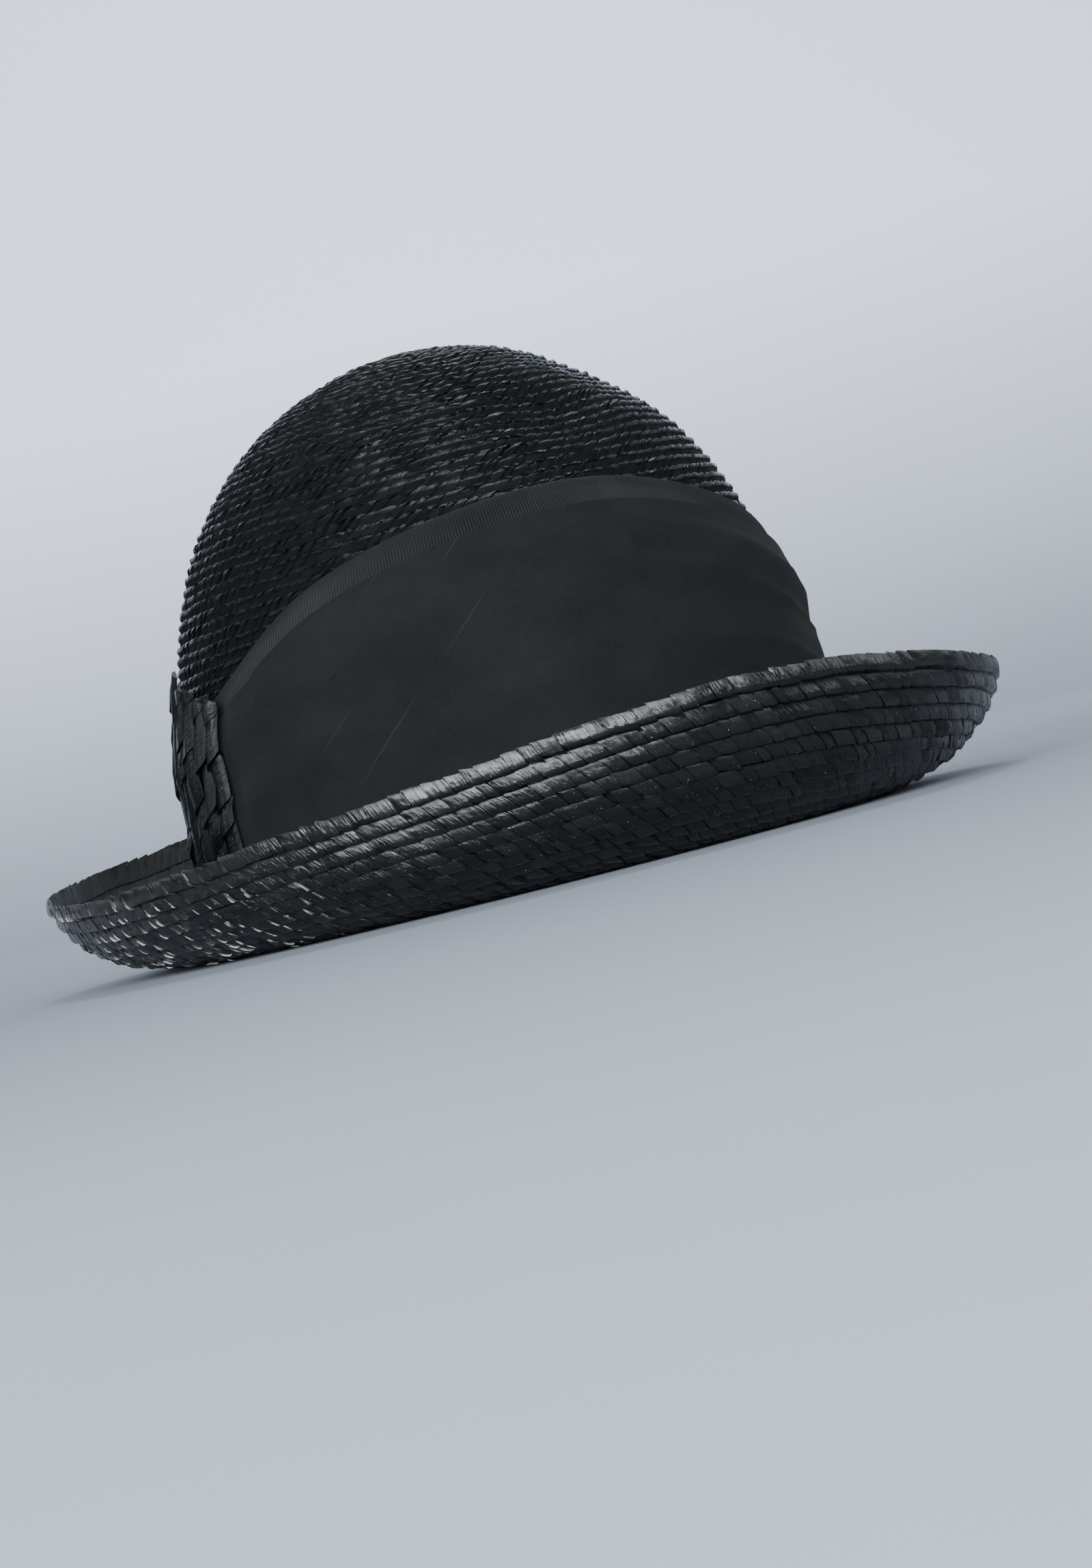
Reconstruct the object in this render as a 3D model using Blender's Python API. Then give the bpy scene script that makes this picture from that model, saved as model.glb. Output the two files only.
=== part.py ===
"""A straw hat with a round crown, a turned-up brim, a cloth band, a ribbon and a straw side tab.

Metres, +Z up. The hat stands on the flat seat ring of its brim at z = 0, with its front
towards -Y and its wearer's right towards -X. Angles round the hat are in degrees, 0 at
the front and 90 at the wearer's right.
"""

import math

import bmesh
import bpy
from mathutils import Vector

HEAD_LENGTH = 0.191
HEAD_WIDTH = 0.164
CROWN_HEIGHT = 0.147
STRAW = 0.002
CLEARANCE = 0.0003

SEAT_MARGIN = 0.0006
BRIM_WIDTH = 0.058

CLOTH = 0.001
FOLD_DEPTH = 0.0013
RIBBON_WIDTH = 0.010
RIBBON_THICKNESS = 0.001
RIBBON_LAP = 0.0025

TAB_WIDTH = 0.020
TAB_FOOT_WIDTH = 0.031
TAB_STRAW = 0.0015
TAB_ARCH = 0.003
TAB_BACK_LIFT = 0.002
TAB_SLANT = 0.012
TAB_ANGLE = 89
TAB_FOOT_ANGLE = 96

# The crown's profile is a rounded curve with these two powers, for its shoulder and its
# dome, and its tip leans to the wearer's right and to the front.
CROWN_SHOULDER = 3.2
CROWN_DOME = 1.95
TIP_TO_RIGHT = 0.0048
TIP_TO_FRONT = 0.0014

AROUND = 64
CROWN_ROWS = 14
BRIM_ROWS = 9
BAND_ROWS = 9
TAB_COLUMNS = 8
TAB_ROWS = 10
STEPS_IN_ROW = 8
SHARP_EDGE = math.radians(50)

# The brim at eight places round the hat: its width as a share of BRIM_WIDTH, the slope that
# it has turned up to at the rim, and how late it turns, where 1 is a plain arc.
BRIM_COLUMNS = ("angle", "width_share", "turned_up", "lateness")
BRIM = (
    (0, 1.01, 82, 0.80),
    (45, 0.99, 70, 1.05),
    (90, 0.93, 70, 1.50),
    (135, 1.03, 92, 1.60),
    (180, 1.08, 93, 1.20),
    (225, 1.07, 78, 1.45),
    (270, 0.955, 66, 1.60),
    (315, 0.97, 74, 1.20),
)

# The top edge of the ribbon at twelve places round the hat, as a share of CROWN_HEIGHT.
RIBBON_COLUMNS = ("angle", "top_share")
RIBBON = (
    (0, 0.657),
    (30, 0.652),
    (60, 0.590),
    (90, 0.445),
    (120, 0.405),
    (150, 0.385),
    (180, 0.375),
    (210, 0.380),
    (240, 0.395),
    (270, 0.430),
    (300, 0.490),
    (330, 0.590),
)

# The stretch of the band's height over which it climbs from the crown onto the ribbon.
CLIMB_START = 0.66
CLIMB_END = 0.86

# The soft folds of the band, from its foot to its top edge: the height as a share of the
# band's, and how far the cloth stands out there, as a share of FOLD_DEPTH.
FOLD_COLUMNS = ("height_share", "stand_out_share")
FOLDS = (
    (0.00, 0.10),
    (0.22, 1.00),
    (0.38, 0.25),
    (0.58, 0.90),
    (0.72, 0.30),
    (0.88, 0.70),
    (1.00, 0.15),
)

# Dents of the crown: where each lies, the height as a share of CROWN_HEIGHT, how far it
# reaches from its middle and how deep it is, both as shares of CROWN_HEIGHT.
DENT_COLUMNS = ("angle", "height_share", "reach_share", "depth_share")
DENTS = (
    (-4, 0.80, 0.16, 0.022),
    (-38, 0.88, 0.20, 0.014),
    (150, 0.86, 0.22, 0.010),
)


def column(table, columns, name):
    place = columns.index(name)
    return [row[place] for row in table]


def smooth_between(before, start, end, after, share):
    """A smooth curve through start and end, whose slopes follow their neighbours."""
    slope_in = (end - before) / 2
    slope_out = (after - start) / 2
    square = share * share
    cube = square * share
    return (
        start * (2 * cube - 3 * square + 1)
        + slope_in * (cube - 2 * square + share)
        + end * (3 * square - 2 * cube)
        + slope_out * (cube - square)
    )


def around(table, columns, name, angle):
    """A column's value at an angle, from a table whose rows go once round the hat evenly."""
    values = column(table, columns, name)
    count = len(values)
    place = (angle % 360) / 360 * count
    first = int(place) % count
    near = [values[(first + step) % count] for step in (-1, 0, 1, 2)]
    return smooth_between(*near, place - int(place))


def fold_share(height):
    """How far the band stands out at a share of its height, as a share of FOLD_DEPTH."""
    heights = column(FOLDS, FOLD_COLUMNS, "height_share")
    stands = column(FOLDS, FOLD_COLUMNS, "stand_out_share")
    for low, high, start, end in zip(heights, heights[1:], stands, stands[1:]):
        if height <= high:
            turn = (1 - math.cos(math.pi * (height - low) / (high - low))) / 2
            return start + (end - start) * turn
    return stands[-1]


def ease(value):
    value = min(max(value, 0.0), 1.0)
    return value * value * (3 - 2 * value)


def outward(angle):
    """The level direction at right angles to the head opening's oval."""
    turn = math.radians(angle)
    return Vector((-HEAD_LENGTH * math.sin(turn), -HEAD_WIDTH * math.cos(turn), 0)).normalized()


def opening_point(angle):
    turn = math.radians(angle)
    return Vector((-HEAD_WIDTH / 2 * math.sin(turn), -HEAD_LENGTH / 2 * math.cos(turn), 0))


def plain_crown_point(angle, height):
    """The crown's outer surface without its dents, at a share of its height."""
    turn = math.radians(angle)
    size = (1 - height**CROWN_SHOULDER) ** (1 / CROWN_DOME)
    return Vector((
        -(HEAD_WIDTH / 2 + STRAW) * math.sin(turn) * size - TIP_TO_RIGHT * height,
        -(HEAD_LENGTH / 2 + STRAW) * math.cos(turn) * size - TIP_TO_FRONT * height,
        CROWN_HEIGHT * height,
    ))


def crown_normal(angle, height):
    """The outward direction at right angles to the crown's surface, straight up at its tip."""
    if height >= 1:
        return Vector((0, 0, 1))
    step = (1 - height) / 10
    low = max(height - step, 0.0)
    along = plain_crown_point(angle + 1, height) - plain_crown_point(angle - 1, height)
    rise = plain_crown_point(angle, height + step) - plain_crown_point(angle, low)
    return rise.cross(along).normalized()


def crown_point(angle, height):
    """The crown's outer surface with its dents."""
    point = plain_crown_point(angle, height)
    inward = -crown_normal(angle, height)
    for row in DENTS:
        dent = dict(zip(DENT_COLUMNS, row))
        middle = plain_crown_point(dent["angle"], dent["height_share"])
        nearness = 1 - (point - middle).length / (dent["reach_share"] * CROWN_HEIGHT)
        point = point + inward * dent["depth_share"] * CROWN_HEIGHT * ease(nearness)
    return point


def over_crown(angle, height, stand_off):
    """A point that lies a set distance outside the crown."""
    return plain_crown_point(angle, height) + crown_normal(angle, height) * stand_off


def brim_rows(angle):
    """The brim's lower surface at an angle, from the head opening out to the rim."""
    width = around(BRIM, BRIM_COLUMNS, "width_share", angle) * BRIM_WIDTH
    turned_up = math.radians(around(BRIM, BRIM_COLUMNS, "turned_up", angle))
    lateness = around(BRIM, BRIM_COLUMNS, "lateness", angle)
    way = outward(angle)
    start = opening_point(angle)
    point = start + way * (STRAW + band_stand_off(0.0) + SEAT_MARGIN)
    rows = [start, point]
    length = width / (BRIM_ROWS * STEPS_IN_ROW)
    for row in range(BRIM_ROWS):
        for step in range(STEPS_IN_ROW):
            share = (row * STEPS_IN_ROW + step + 0.5) / (BRIM_ROWS * STEPS_IN_ROW)
            slope = turned_up * share**lateness
            point = point + (way * math.cos(slope) + Vector((0, 0, math.sin(slope)))) * length
        rows.append(point)
    return rows


def ribbon_top(angle):
    return around(RIBBON, RIBBON_COLUMNS, "top_share", angle) * CROWN_HEIGHT


def band_top(angle):
    return ribbon_top(angle) - RIBBON_WIDTH + RIBBON_LAP


def band_stand_off(share):
    """How far the band's outer face lies outside the crown, at a share of its height."""
    over_ribbon = (RIBBON_THICKNESS + CLEARANCE) * ease((share - CLIMB_START) / (CLIMB_END - CLIMB_START))
    return CLEARANCE + CLOTH + over_ribbon + FOLD_DEPTH * fold_share(share)


def hat_angles():
    return [360 * step / AROUND for step in range(AROUND)]


def middle_of_brim():
    """The middle of the rim's outline, over which the hat is centred."""
    rim = [brim_rows(angle)[-1] for angle in hat_angles()]
    across = [point.x for point in rim]
    along = [point.y for point in rim]
    return Vector(((min(across) + max(across)) / 2, (min(along) + max(along)) / 2, 0))


def material(name, color, roughness, gloss):
    """A finish, whose gloss is the strength of the clear film over it."""
    finish = bpy.data.materials.new(name)
    finish.use_nodes = True
    shader = finish.node_tree.nodes["Principled BSDF"]
    shader.inputs["Base Color"].default_value = (*color, 1.0)
    shader.inputs["Roughness"].default_value = roughness
    shader.inputs["Metallic"].default_value = 0.0
    shader.inputs["Coat Weight"].default_value = gloss
    finish.diffuse_color = (*color, 1.0)
    return finish


def add_piece(name, sheet, thickness, finish, parent):
    """An object made of its outer sheet, thickened inwards into a closed wall."""
    mesh = bpy.data.meshes.new(name)
    sheet.to_mesh(mesh)
    sheet.free()
    piece = bpy.data.objects.new(name, mesh)
    bpy.context.collection.objects.link(piece)
    wall = piece.modifiers.new("wall", "SOLIDIFY")
    wall.thickness = thickness
    wall.offset = -1.0
    wall.use_even_offset = True
    mesh.materials.append(finish)
    mesh.shade_smooth()
    mesh.set_sharp_from_angle(angle=SHARP_EDGE)
    piece.parent = parent
    return piece


def ring_sheet(rings, tip=None):
    """A sheet through closed rings of points, with a fan to the tip over the last one."""
    sheet = bmesh.new()
    loops = [[sheet.verts.new(point) for point in ring] for ring in rings]
    for lower, upper in zip(loops, loops[1:]):
        for step in range(len(lower)):
            after = (step + 1) % len(lower)
            sheet.faces.new((lower[step], upper[step], upper[after], lower[after]))
    if tip is not None:
        top = sheet.verts.new(tip)
        last = loops[-1]
        for step in range(len(last)):
            sheet.faces.new((last[step], top, last[(step + 1) % len(last)]))
    return sheet


def make_crown(finish, hat):
    foot = (STRAW + CLEARANCE) / CROWN_HEIGHT
    turns = [math.radians(90) * row / CROWN_ROWS for row in range(CROWN_ROWS)]
    heights = [foot] + [math.sin(turn) ** (2 / CROWN_SHOULDER) for turn in turns[1:]]
    rings = [[crown_point(angle, height) for angle in hat_angles()] for height in heights]
    return add_piece("crown", ring_sheet(rings, crown_point(0, 1.0)), STRAW, finish, hat)


def make_brim(finish, hat):
    spokes = [brim_rows(angle) for angle in hat_angles()]
    rings = [[spoke[row] for spoke in spokes] for row in range(len(spokes[0]))]
    return add_piece("brim", ring_sheet(rings), STRAW, finish, hat)


def make_band(finish, hat):
    foot = STRAW + CLEARANCE
    rings = []
    for row in range(BAND_ROWS + 1):
        share = row / BAND_ROWS
        ring = []
        for angle in hat_angles():
            height = (foot + (band_top(angle) - foot) * share) / CROWN_HEIGHT
            ring.append(over_crown(angle, height, band_stand_off(share)))
        rings.append(ring)
    return add_piece("band", ring_sheet(rings), CLOTH, finish, hat)


def make_ribbon(finish, hat):
    rings = []
    for share in (0.0, 0.5, 1.0):
        ring = []
        for angle in hat_angles():
            height = (ribbon_top(angle) - RIBBON_WIDTH * (1 - share)) / CROWN_HEIGHT
            ring.append(over_crown(angle, height, CLEARANCE + RIBBON_THICKNESS))
        rings.append(ring)
    return add_piece("ribbon", ring_sheet(rings), RIBBON_THICKNESS, finish, hat)


def tab_point(across, up):
    """A point of the tab's outer face: across runs from -1 to 1, up from 0 to 1."""
    radius = (HEAD_LENGTH + HEAD_WIDTH) / 4
    half_width = (TAB_FOOT_WIDTH + (TAB_WIDTH - TAB_FOOT_WIDTH) * up) / 2
    middle = TAB_FOOT_ANGLE + (TAB_ANGLE - TAB_FOOT_ANGLE) * up
    angle = middle + math.degrees(half_width / radius) * across
    foot = STRAW + TAB_BACK_LIFT + TAB_ARCH
    top = ribbon_top(TAB_ANGLE) + TAB_SLANT * (1 + across) / 2
    height = foot + (top - foot) * up
    band_foot = STRAW + CLEARANCE
    band_share = min((height - band_foot) / (band_top(angle) - band_foot), 1.0)
    under = band_stand_off(band_share) + 2 * CLEARANCE
    arch = TAB_ARCH * (1 - across * across) + TAB_BACK_LIFT * (1 + across) / 2
    return over_crown(angle, height / CROWN_HEIGHT, under + TAB_STRAW + arch)


def make_side_tab(finish, hat):
    sheet = bmesh.new()
    rows = []
    for row in range(TAB_ROWS + 1):
        up = row / TAB_ROWS
        steps = range(TAB_COLUMNS + 1)
        rows.append([sheet.verts.new(tab_point(2 * step / TAB_COLUMNS - 1, up)) for step in steps])
    for lower, upper in zip(rows, rows[1:]):
        for step in range(TAB_COLUMNS):
            sheet.faces.new((lower[step], upper[step], upper[step + 1], lower[step + 1]))
    return add_piece("side_tab", sheet, TAB_STRAW, finish, hat)


def main():
    for old in list(bpy.data.objects):
        bpy.data.objects.remove(old)
    hat = bpy.data.objects.new("hat", None)
    bpy.context.collection.objects.link(hat)
    hat.location = -middle_of_brim()
    straw = material("black_straw", (0.012, 0.012, 0.014), 0.30, 0.6)
    cloth = material("charcoal_cloth", (0.022, 0.023, 0.026), 0.75, 0.0)
    ribbed = material("black_ribbon", (0.028, 0.029, 0.032), 0.55, 0.0)
    braid = material("black_braid", (0.014, 0.014, 0.016), 0.32, 0.6)
    make_crown(straw, hat)
    make_brim(straw, hat)
    make_band(cloth, hat)
    make_ribbon(ribbed, hat)
    make_side_tab(braid, hat)


main()
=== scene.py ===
"""A black straw hat with a turned-up brim, a draped band, a ribbed ribbon and a side tab.

Metres, +Z up. The hat stands on its brim at z = 0, with its front towards -Y and its
wearer's right towards -X. Angles round the hat are in degrees, 0 at the front and 90 at
the wearer's right, as in the frame.
"""

import math

import bpy
import numpy as np
from mathutils import Matrix, Vector


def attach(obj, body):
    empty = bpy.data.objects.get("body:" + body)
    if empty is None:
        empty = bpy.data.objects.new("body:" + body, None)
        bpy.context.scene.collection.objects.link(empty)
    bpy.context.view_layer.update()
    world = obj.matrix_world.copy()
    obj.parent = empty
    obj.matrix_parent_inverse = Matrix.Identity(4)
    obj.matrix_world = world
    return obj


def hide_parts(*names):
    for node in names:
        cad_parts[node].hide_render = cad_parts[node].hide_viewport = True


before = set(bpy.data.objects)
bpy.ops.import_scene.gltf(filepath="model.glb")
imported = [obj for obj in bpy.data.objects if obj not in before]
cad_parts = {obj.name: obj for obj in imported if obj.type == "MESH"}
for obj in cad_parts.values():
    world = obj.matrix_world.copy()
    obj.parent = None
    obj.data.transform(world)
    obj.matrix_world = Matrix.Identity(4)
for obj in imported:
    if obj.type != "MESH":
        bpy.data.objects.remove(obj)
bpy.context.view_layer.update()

MM = 0.001

# The hat's sizes, as the frame has them.
HEAD_LENGTH = 0.191
HEAD_WIDTH = 0.164
CROWN_HEIGHT = 0.147
STRAW = 0.002
CLEARANCE = 0.0003
SEAT_MARGIN = 0.0006
BRIM_WIDTH = 0.058
CLOTH = 0.001
FOLD_DEPTH = 0.0013
RIBBON_WIDTH = 0.010
RIBBON_THICKNESS = 0.001
RIBBON_LAP = 0.0025
TAB_WIDTH = 0.020
TAB_FOOT_WIDTH = 0.031
TAB_STRAW = 0.0015
TAB_ARCH = 0.003
TAB_BACK_LIFT = 0.002
TAB_SLANT = 0.012
TAB_ANGLE = 89
TAB_FOOT_ANGLE = 96
CROWN_SHOULDER = 3.2
CROWN_DOME = 1.95
TIP_TO_RIGHT = 0.0048
TIP_TO_FRONT = 0.0014
CLIMB_START = 0.66
CLIMB_END = 0.86
AROUND = 64

# The brim at eight places: its width as a share of BRIM_WIDTH, the slope that it has turned
# up to at the rim, and how late it turns.
BRIM_COLUMNS = ("angle", "width_share", "turned_up", "lateness")
BRIM = (
    (0, 1.01, 82, 0.80),
    (45, 0.99, 70, 1.05),
    (90, 0.93, 70, 1.50),
    (135, 1.03, 92, 1.60),
    (180, 1.08, 93, 1.20),
    (225, 1.07, 78, 1.45),
    (270, 0.955, 66, 1.60),
    (315, 0.97, 74, 1.20),
)

# The top edge of the ribbon at twelve places, as a share of CROWN_HEIGHT.
RIBBON_COLUMNS = ("angle", "top_share")
RIBBON = (
    (0, 0.657),
    (30, 0.652),
    (60, 0.590),
    (90, 0.445),
    (120, 0.405),
    (150, 0.385),
    (180, 0.375),
    (210, 0.380),
    (240, 0.395),
    (270, 0.430),
    (300, 0.490),
    (330, 0.590),
)

# The soft folds of the band, from its foot to its top edge, as shares of its height and of
# FOLD_DEPTH.
FOLD_COLUMNS = ("height_share", "stand_out_share")
FOLDS = (
    (0.00, 0.10),
    (0.22, 1.00),
    (0.38, 0.25),
    (0.58, 0.90),
    (0.72, 0.30),
    (0.88, 0.70),
    (1.00, 0.15),
)

# Dents of the crown, as shares of CROWN_HEIGHT.
DENT_COLUMNS = ("angle", "height_share", "reach_share", "depth_share")
DENTS = (
    (-4, 0.80, 0.16, 0.022),
    (-38, 0.88, 0.20, 0.014),
    (150, 0.86, 0.22, 0.010),
)

# The cross-section of a course of braid, from its hidden lower edge to its exposed upper
# edge and back along its inner face: the place across as a share of the braid's width, how
# far it lies from the hat's outer surface in millimetres, how deep a slit between two
# plaits goes there in millimetres, and how wide that slit is as a share of its width.
COURSE_COLUMNS = ("across", "lift", "slit_depth", "slit_width")
BRIM_COURSE = (
    (0.00, -1.72, 0.05, 0.20),
    (0.10, -1.50, 0.25, 0.60),
    (0.18, -1.10, 0.45, 1.00),
    (0.26, -0.50, 0.60, 1.00),
    (0.34, -0.06, 0.70, 0.95),
    (0.44, 0.00, 0.70, 0.85),
    (0.58, -0.22, 0.62, 0.62),
    (0.72, -0.52, 0.42, 0.40),
    (0.86, -0.88, 0.20, 0.20),
    (0.96, -1.14, 0.05, 0.10),
    (1.00, -1.30, 0.00, 0.00),
    (0.50, -1.62, -0.10, 0.50),
    (0.00, -2.02, 0.00, 0.40),
)
CROWN_COURSE = (
    (0.00, -0.98, 0.00, 0.30),
    (0.40, -0.76, 0.05, 0.60),
    (0.58, -0.62, 0.20, 0.90),
    (0.70, -0.14, 0.45, 1.00),
    (0.83, 0.00, 0.50, 0.85),
    (0.94, -0.16, 0.40, 1.00),
    (1.00, -0.50, 0.05, 0.60),
    (0.50, -1.40, -0.10, 0.60),
    (0.00, -1.75, 0.00, 0.40),
)
TAB_COURSE = (
    (0.00, -1.05, 0.02, 0.20),
    (0.14, -0.80, 0.20, 0.80),
    (0.34, -0.20, 0.40, 0.70),
    (0.52, 0.00, 0.50, 0.50),
    (0.70, -0.18, 0.40, 0.70),
    (0.88, -0.78, 0.20, 0.90),
    (1.00, -1.05, 0.02, 0.20),
    (1.00, -1.15, 0.00, 0.00),
    (0.00, -1.25, 0.00, 0.00),
)
OVERLAP = 0.22
# How deep a slit lies where no light reaches it.
SLIT_BLACK_AT = 0.75 * MM
# How far apart the courses lie: the brim's and the crown foot's, and the finer crown's.
BRAID_PITCH = 0.0045
CROWN_PITCH = 0.0032

# How a plait may differ from its neighbours: its length, the width of its slit and how that
# is skewed, the widest slit as a share of its plait, how often a plait is loose and how much
# more it then tilts, how deep its slit goes, and how far its upper edge steps and bows out.
PLAIT_LENGTHS = (0.6, 1.45)
FEWEST_PLAITS = 5
SLIT_WIDTHS = (0.15, 1.0)
SLIT_SKEW = 1.5
WIDEST_SLIT = 0.4
LOOSE_SHARE = 0.10
LOOSE_TILT = 2.4
SLIT_DEPTHS = (0.6, 1.1)
TOOTH_SIZES = (0.1, 1.0)
BOW_SIZES = (0.6, 1.1)
# The most that the slits lean, as a share of the course's length, how much they curve, and
# how wide each stays where its section has none.
STEEPEST_LEAN = 0.16
SLIT_CURVE = 0.05
THINNEST_SLIT = 0.06
# Where a section's upper edge starts, and the most that a plait may rise.
UPPER_EDGE = 0.80
HIGHEST_PLAIT = 0.35 * MM
# The step across a surface, as a share of it, over which its direction is measured.
ACROSS_STEP = 0.006


class Braid:
    """How one kind of braid looks: its section, its plaits and how uneven they are."""

    def __init__(self, section, recess, plait, slit, slant, tooth, scallop, bulge, tilt, wander, crumple):
        self.section = section
        # How deep between two courses the straw's colour is painted black as shade, in metres.
        self.recess = recess
        # The length of a plait, the widest slit and the slant of the slits, in metres.
        self.plait = plait
        self.slit = slit
        self.slant = slant
        # How far the upper edge steps and bows out at each plait, in metres.
        self.tooth = tooth
        self.scallop = scallop
        # How far a plait's middle stands above its ends, in metres.
        self.bulge = bulge
        # How far a plait's ends rise and sink, how far a course strays and how far its
        # surface is crumpled, in metres.
        self.tilt = tilt
        self.wander = wander
        self.crumple = crumple


BRIM_BRAID = Braid(
    BRIM_COURSE, 3.2 * MM, 0.0050, 0.0012, 0.0050, 0.00030, 0.0, 0.00006, 0.00017, 0.00020, 0.00006
)
RIM_BRAID = Braid(
    BRIM_COURSE, 3.2 * MM, 0.0052, 0.0007, 0.0030, 0.00115, 0.0, 0.00003, 0.00022, 0.00020, 0.00006
)
CROWN_BRAID = Braid(
    CROWN_COURSE, 0.70 * MM, 0.0038, 0.0008, -0.0072, 0.0001, 0.00022, 0.00011, 0.00013, 0.00015, 0.00007
)
FOOT_BRAID = Braid(
    CROWN_COURSE, 0.62 * MM, 0.0068, 0.0012, -0.0048, 0.0001, 0.00030, 0.00015, 0.00012, 0.00018, 0.00005
)
TAB_BRAID = Braid(
    TAB_COURSE, 1.1 * MM, 0.0120, 0.0010, 0.0080, 0.0003, 0.00020, 0.00012, 0.00026, 0.0, 0.00016
)


def column(table, columns, name):
    place = columns.index(name)
    return np.array([row[place] for row in table], float)


def around(table, columns, name, angle):
    """A column's value at each angle, smooth through rows that go once round the hat."""
    values = column(table, columns, name)
    count = len(values)
    place = np.mod(np.asarray(angle, float), 360) / 360 * count
    first = np.floor(place).astype(int) % count
    share = place - np.floor(place)
    before, start, end, after = [values[(first + step) % count] for step in (-1, 0, 1, 2)]
    slope_in = (end - before) / 2
    slope_out = (after - start) / 2
    square = share * share
    cube = square * share
    return (
        start * (2 * cube - 3 * square + 1)
        + slope_in * (cube - 2 * square + share)
        + end * (3 * square - 2 * cube)
        + slope_out * (cube - square)
    )


def ease(value):
    value = np.clip(value, 0.0, 1.0)
    return value * value * (3 - 2 * value)


def fold_share(height):
    heights = column(FOLDS, FOLD_COLUMNS, "height_share")
    stands = column(FOLDS, FOLD_COLUMNS, "stand_out_share")
    place = np.clip(np.searchsorted(heights, height, side="left") - 1, 0, len(heights) - 2)
    low, high = heights[place], heights[place + 1]
    turn = (1 - np.cos(math.pi * np.clip((height - low) / (high - low), 0, 1))) / 2
    return stands[place] + (stands[place + 1] - stands[place]) * turn


def band_stand_off(share):
    """How far the band's outer face lies outside the crown, at a share of its height."""
    climb = ease((share - CLIMB_START) / (CLIMB_END - CLIMB_START))
    over_ribbon = (RIBBON_THICKNESS + CLEARANCE) * climb
    return CLEARANCE + CLOTH + over_ribbon + FOLD_DEPTH * fold_share(share)


def stack(x, y, z):
    return np.stack(np.broadcast_arrays(x, y, z), axis=-1)


def unit(vectors):
    return vectors / np.maximum(np.linalg.norm(vectors, axis=-1, keepdims=True), 1e-12)


def outward(angle):
    turn = np.radians(angle)
    return unit(stack(-HEAD_LENGTH * np.sin(turn), -HEAD_WIDTH * np.cos(turn), 0.0))


def opening_point(angle):
    turn = np.radians(angle)
    return stack(-HEAD_WIDTH / 2 * np.sin(turn), -HEAD_LENGTH / 2 * np.cos(turn), 0.0)


# The brim's profile is summed in this many straight steps.
BRIM_STEPS = 144


def brim_profile(angle, lengths):
    """The brim's lower surface at each angle, at each share of its length from the opening."""
    angle = np.asarray(angle, float)[:, None]
    seat = STRAW + band_stand_off(np.array(0.0)) + SEAT_MARGIN
    width = around(BRIM, BRIM_COLUMNS, "width_share", angle) * BRIM_WIDTH
    turned_up = np.radians(around(BRIM, BRIM_COLUMNS, "turned_up", angle))
    lateness = around(BRIM, BRIM_COLUMNS, "lateness", angle)
    steps = BRIM_STEPS
    shares = (np.arange(steps) + 0.5) / steps
    slopes = turned_up * shares[None, :] ** lateness
    out = np.concatenate([0 * width, np.cumsum(np.cos(slopes), 1) * width / steps], 1)
    up = np.concatenate([0 * width, np.cumsum(np.sin(slopes), 1) * width / steps], 1)
    along = np.asarray(lengths, float)[None, :] * (seat + width)
    past = np.clip((along - seat) / width, 0, 1) * steps
    first = np.minimum(past.astype(int), steps - 1)
    part = past - first
    rows = np.arange(len(angle))[:, None]
    reach = out[rows, first] * (1 - part) + out[rows, first + 1] * part + np.minimum(along, seat)
    rise = up[rows, first] * (1 - part) + up[rows, first + 1] * part
    way = outward(angle[:, 0])[:, None, :]
    flat = opening_point(angle[:, 0])[:, None, :] + way * reach[..., None]
    return flat + stack(0.0, 0.0, rise)


def middle_of_brim():
    rim = brim_profile(np.arange(AROUND) * 360 / AROUND, [1.0])[:, 0]
    return (rim.min(0) + rim.max(0)) / 2 * np.array([1, 1, 0])


TO_FRAME = -middle_of_brim()

BRIM_ANGLES = 720
BRIM_SHARES = 160
BRIM_GRID = TO_FRAME + brim_profile(
    np.arange(BRIM_ANGLES) * 360 / BRIM_ANGLES, np.arange(BRIM_SHARES + 1) / BRIM_SHARES
)


def brim_surface(angle, share):
    """The brim's lower surface, by straight steps between the points of its grid."""
    place = np.mod(angle, 360) / 360 * BRIM_ANGLES
    low = np.floor(place).astype(int) % BRIM_ANGLES
    high = (low + 1) % BRIM_ANGLES
    turn = (place - np.floor(place))[..., None]
    out = np.clip(share, 0, 1) * BRIM_SHARES
    near = np.minimum(out.astype(int), BRIM_SHARES - 1)
    part = (out - near)[..., None]
    start = BRIM_GRID[low, near] * (1 - turn) + BRIM_GRID[high, near] * turn
    end = BRIM_GRID[low, near + 1] * (1 - turn) + BRIM_GRID[high, near + 1] * turn
    return start * (1 - part) + end * part


def crown_at(angle, height, size):
    """The crown's outer surface without its dents, from a height share and a size share."""
    turn = np.radians(angle)
    return stack(
        -(HEAD_WIDTH / 2 + STRAW) * np.sin(turn) * size - TIP_TO_RIGHT * height,
        -(HEAD_LENGTH / 2 + STRAW) * np.cos(turn) * size - TIP_TO_FRONT * height,
        CROWN_HEIGHT * height,
    ) + TO_FRAME


def size_at(height):
    return np.maximum(1 - np.clip(height, 0, 1) ** CROWN_SHOULDER, 0) ** (1 / CROWN_DOME)


def crown_by_height(angle, height):
    return crown_at(angle, height, size_at(height))


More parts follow.
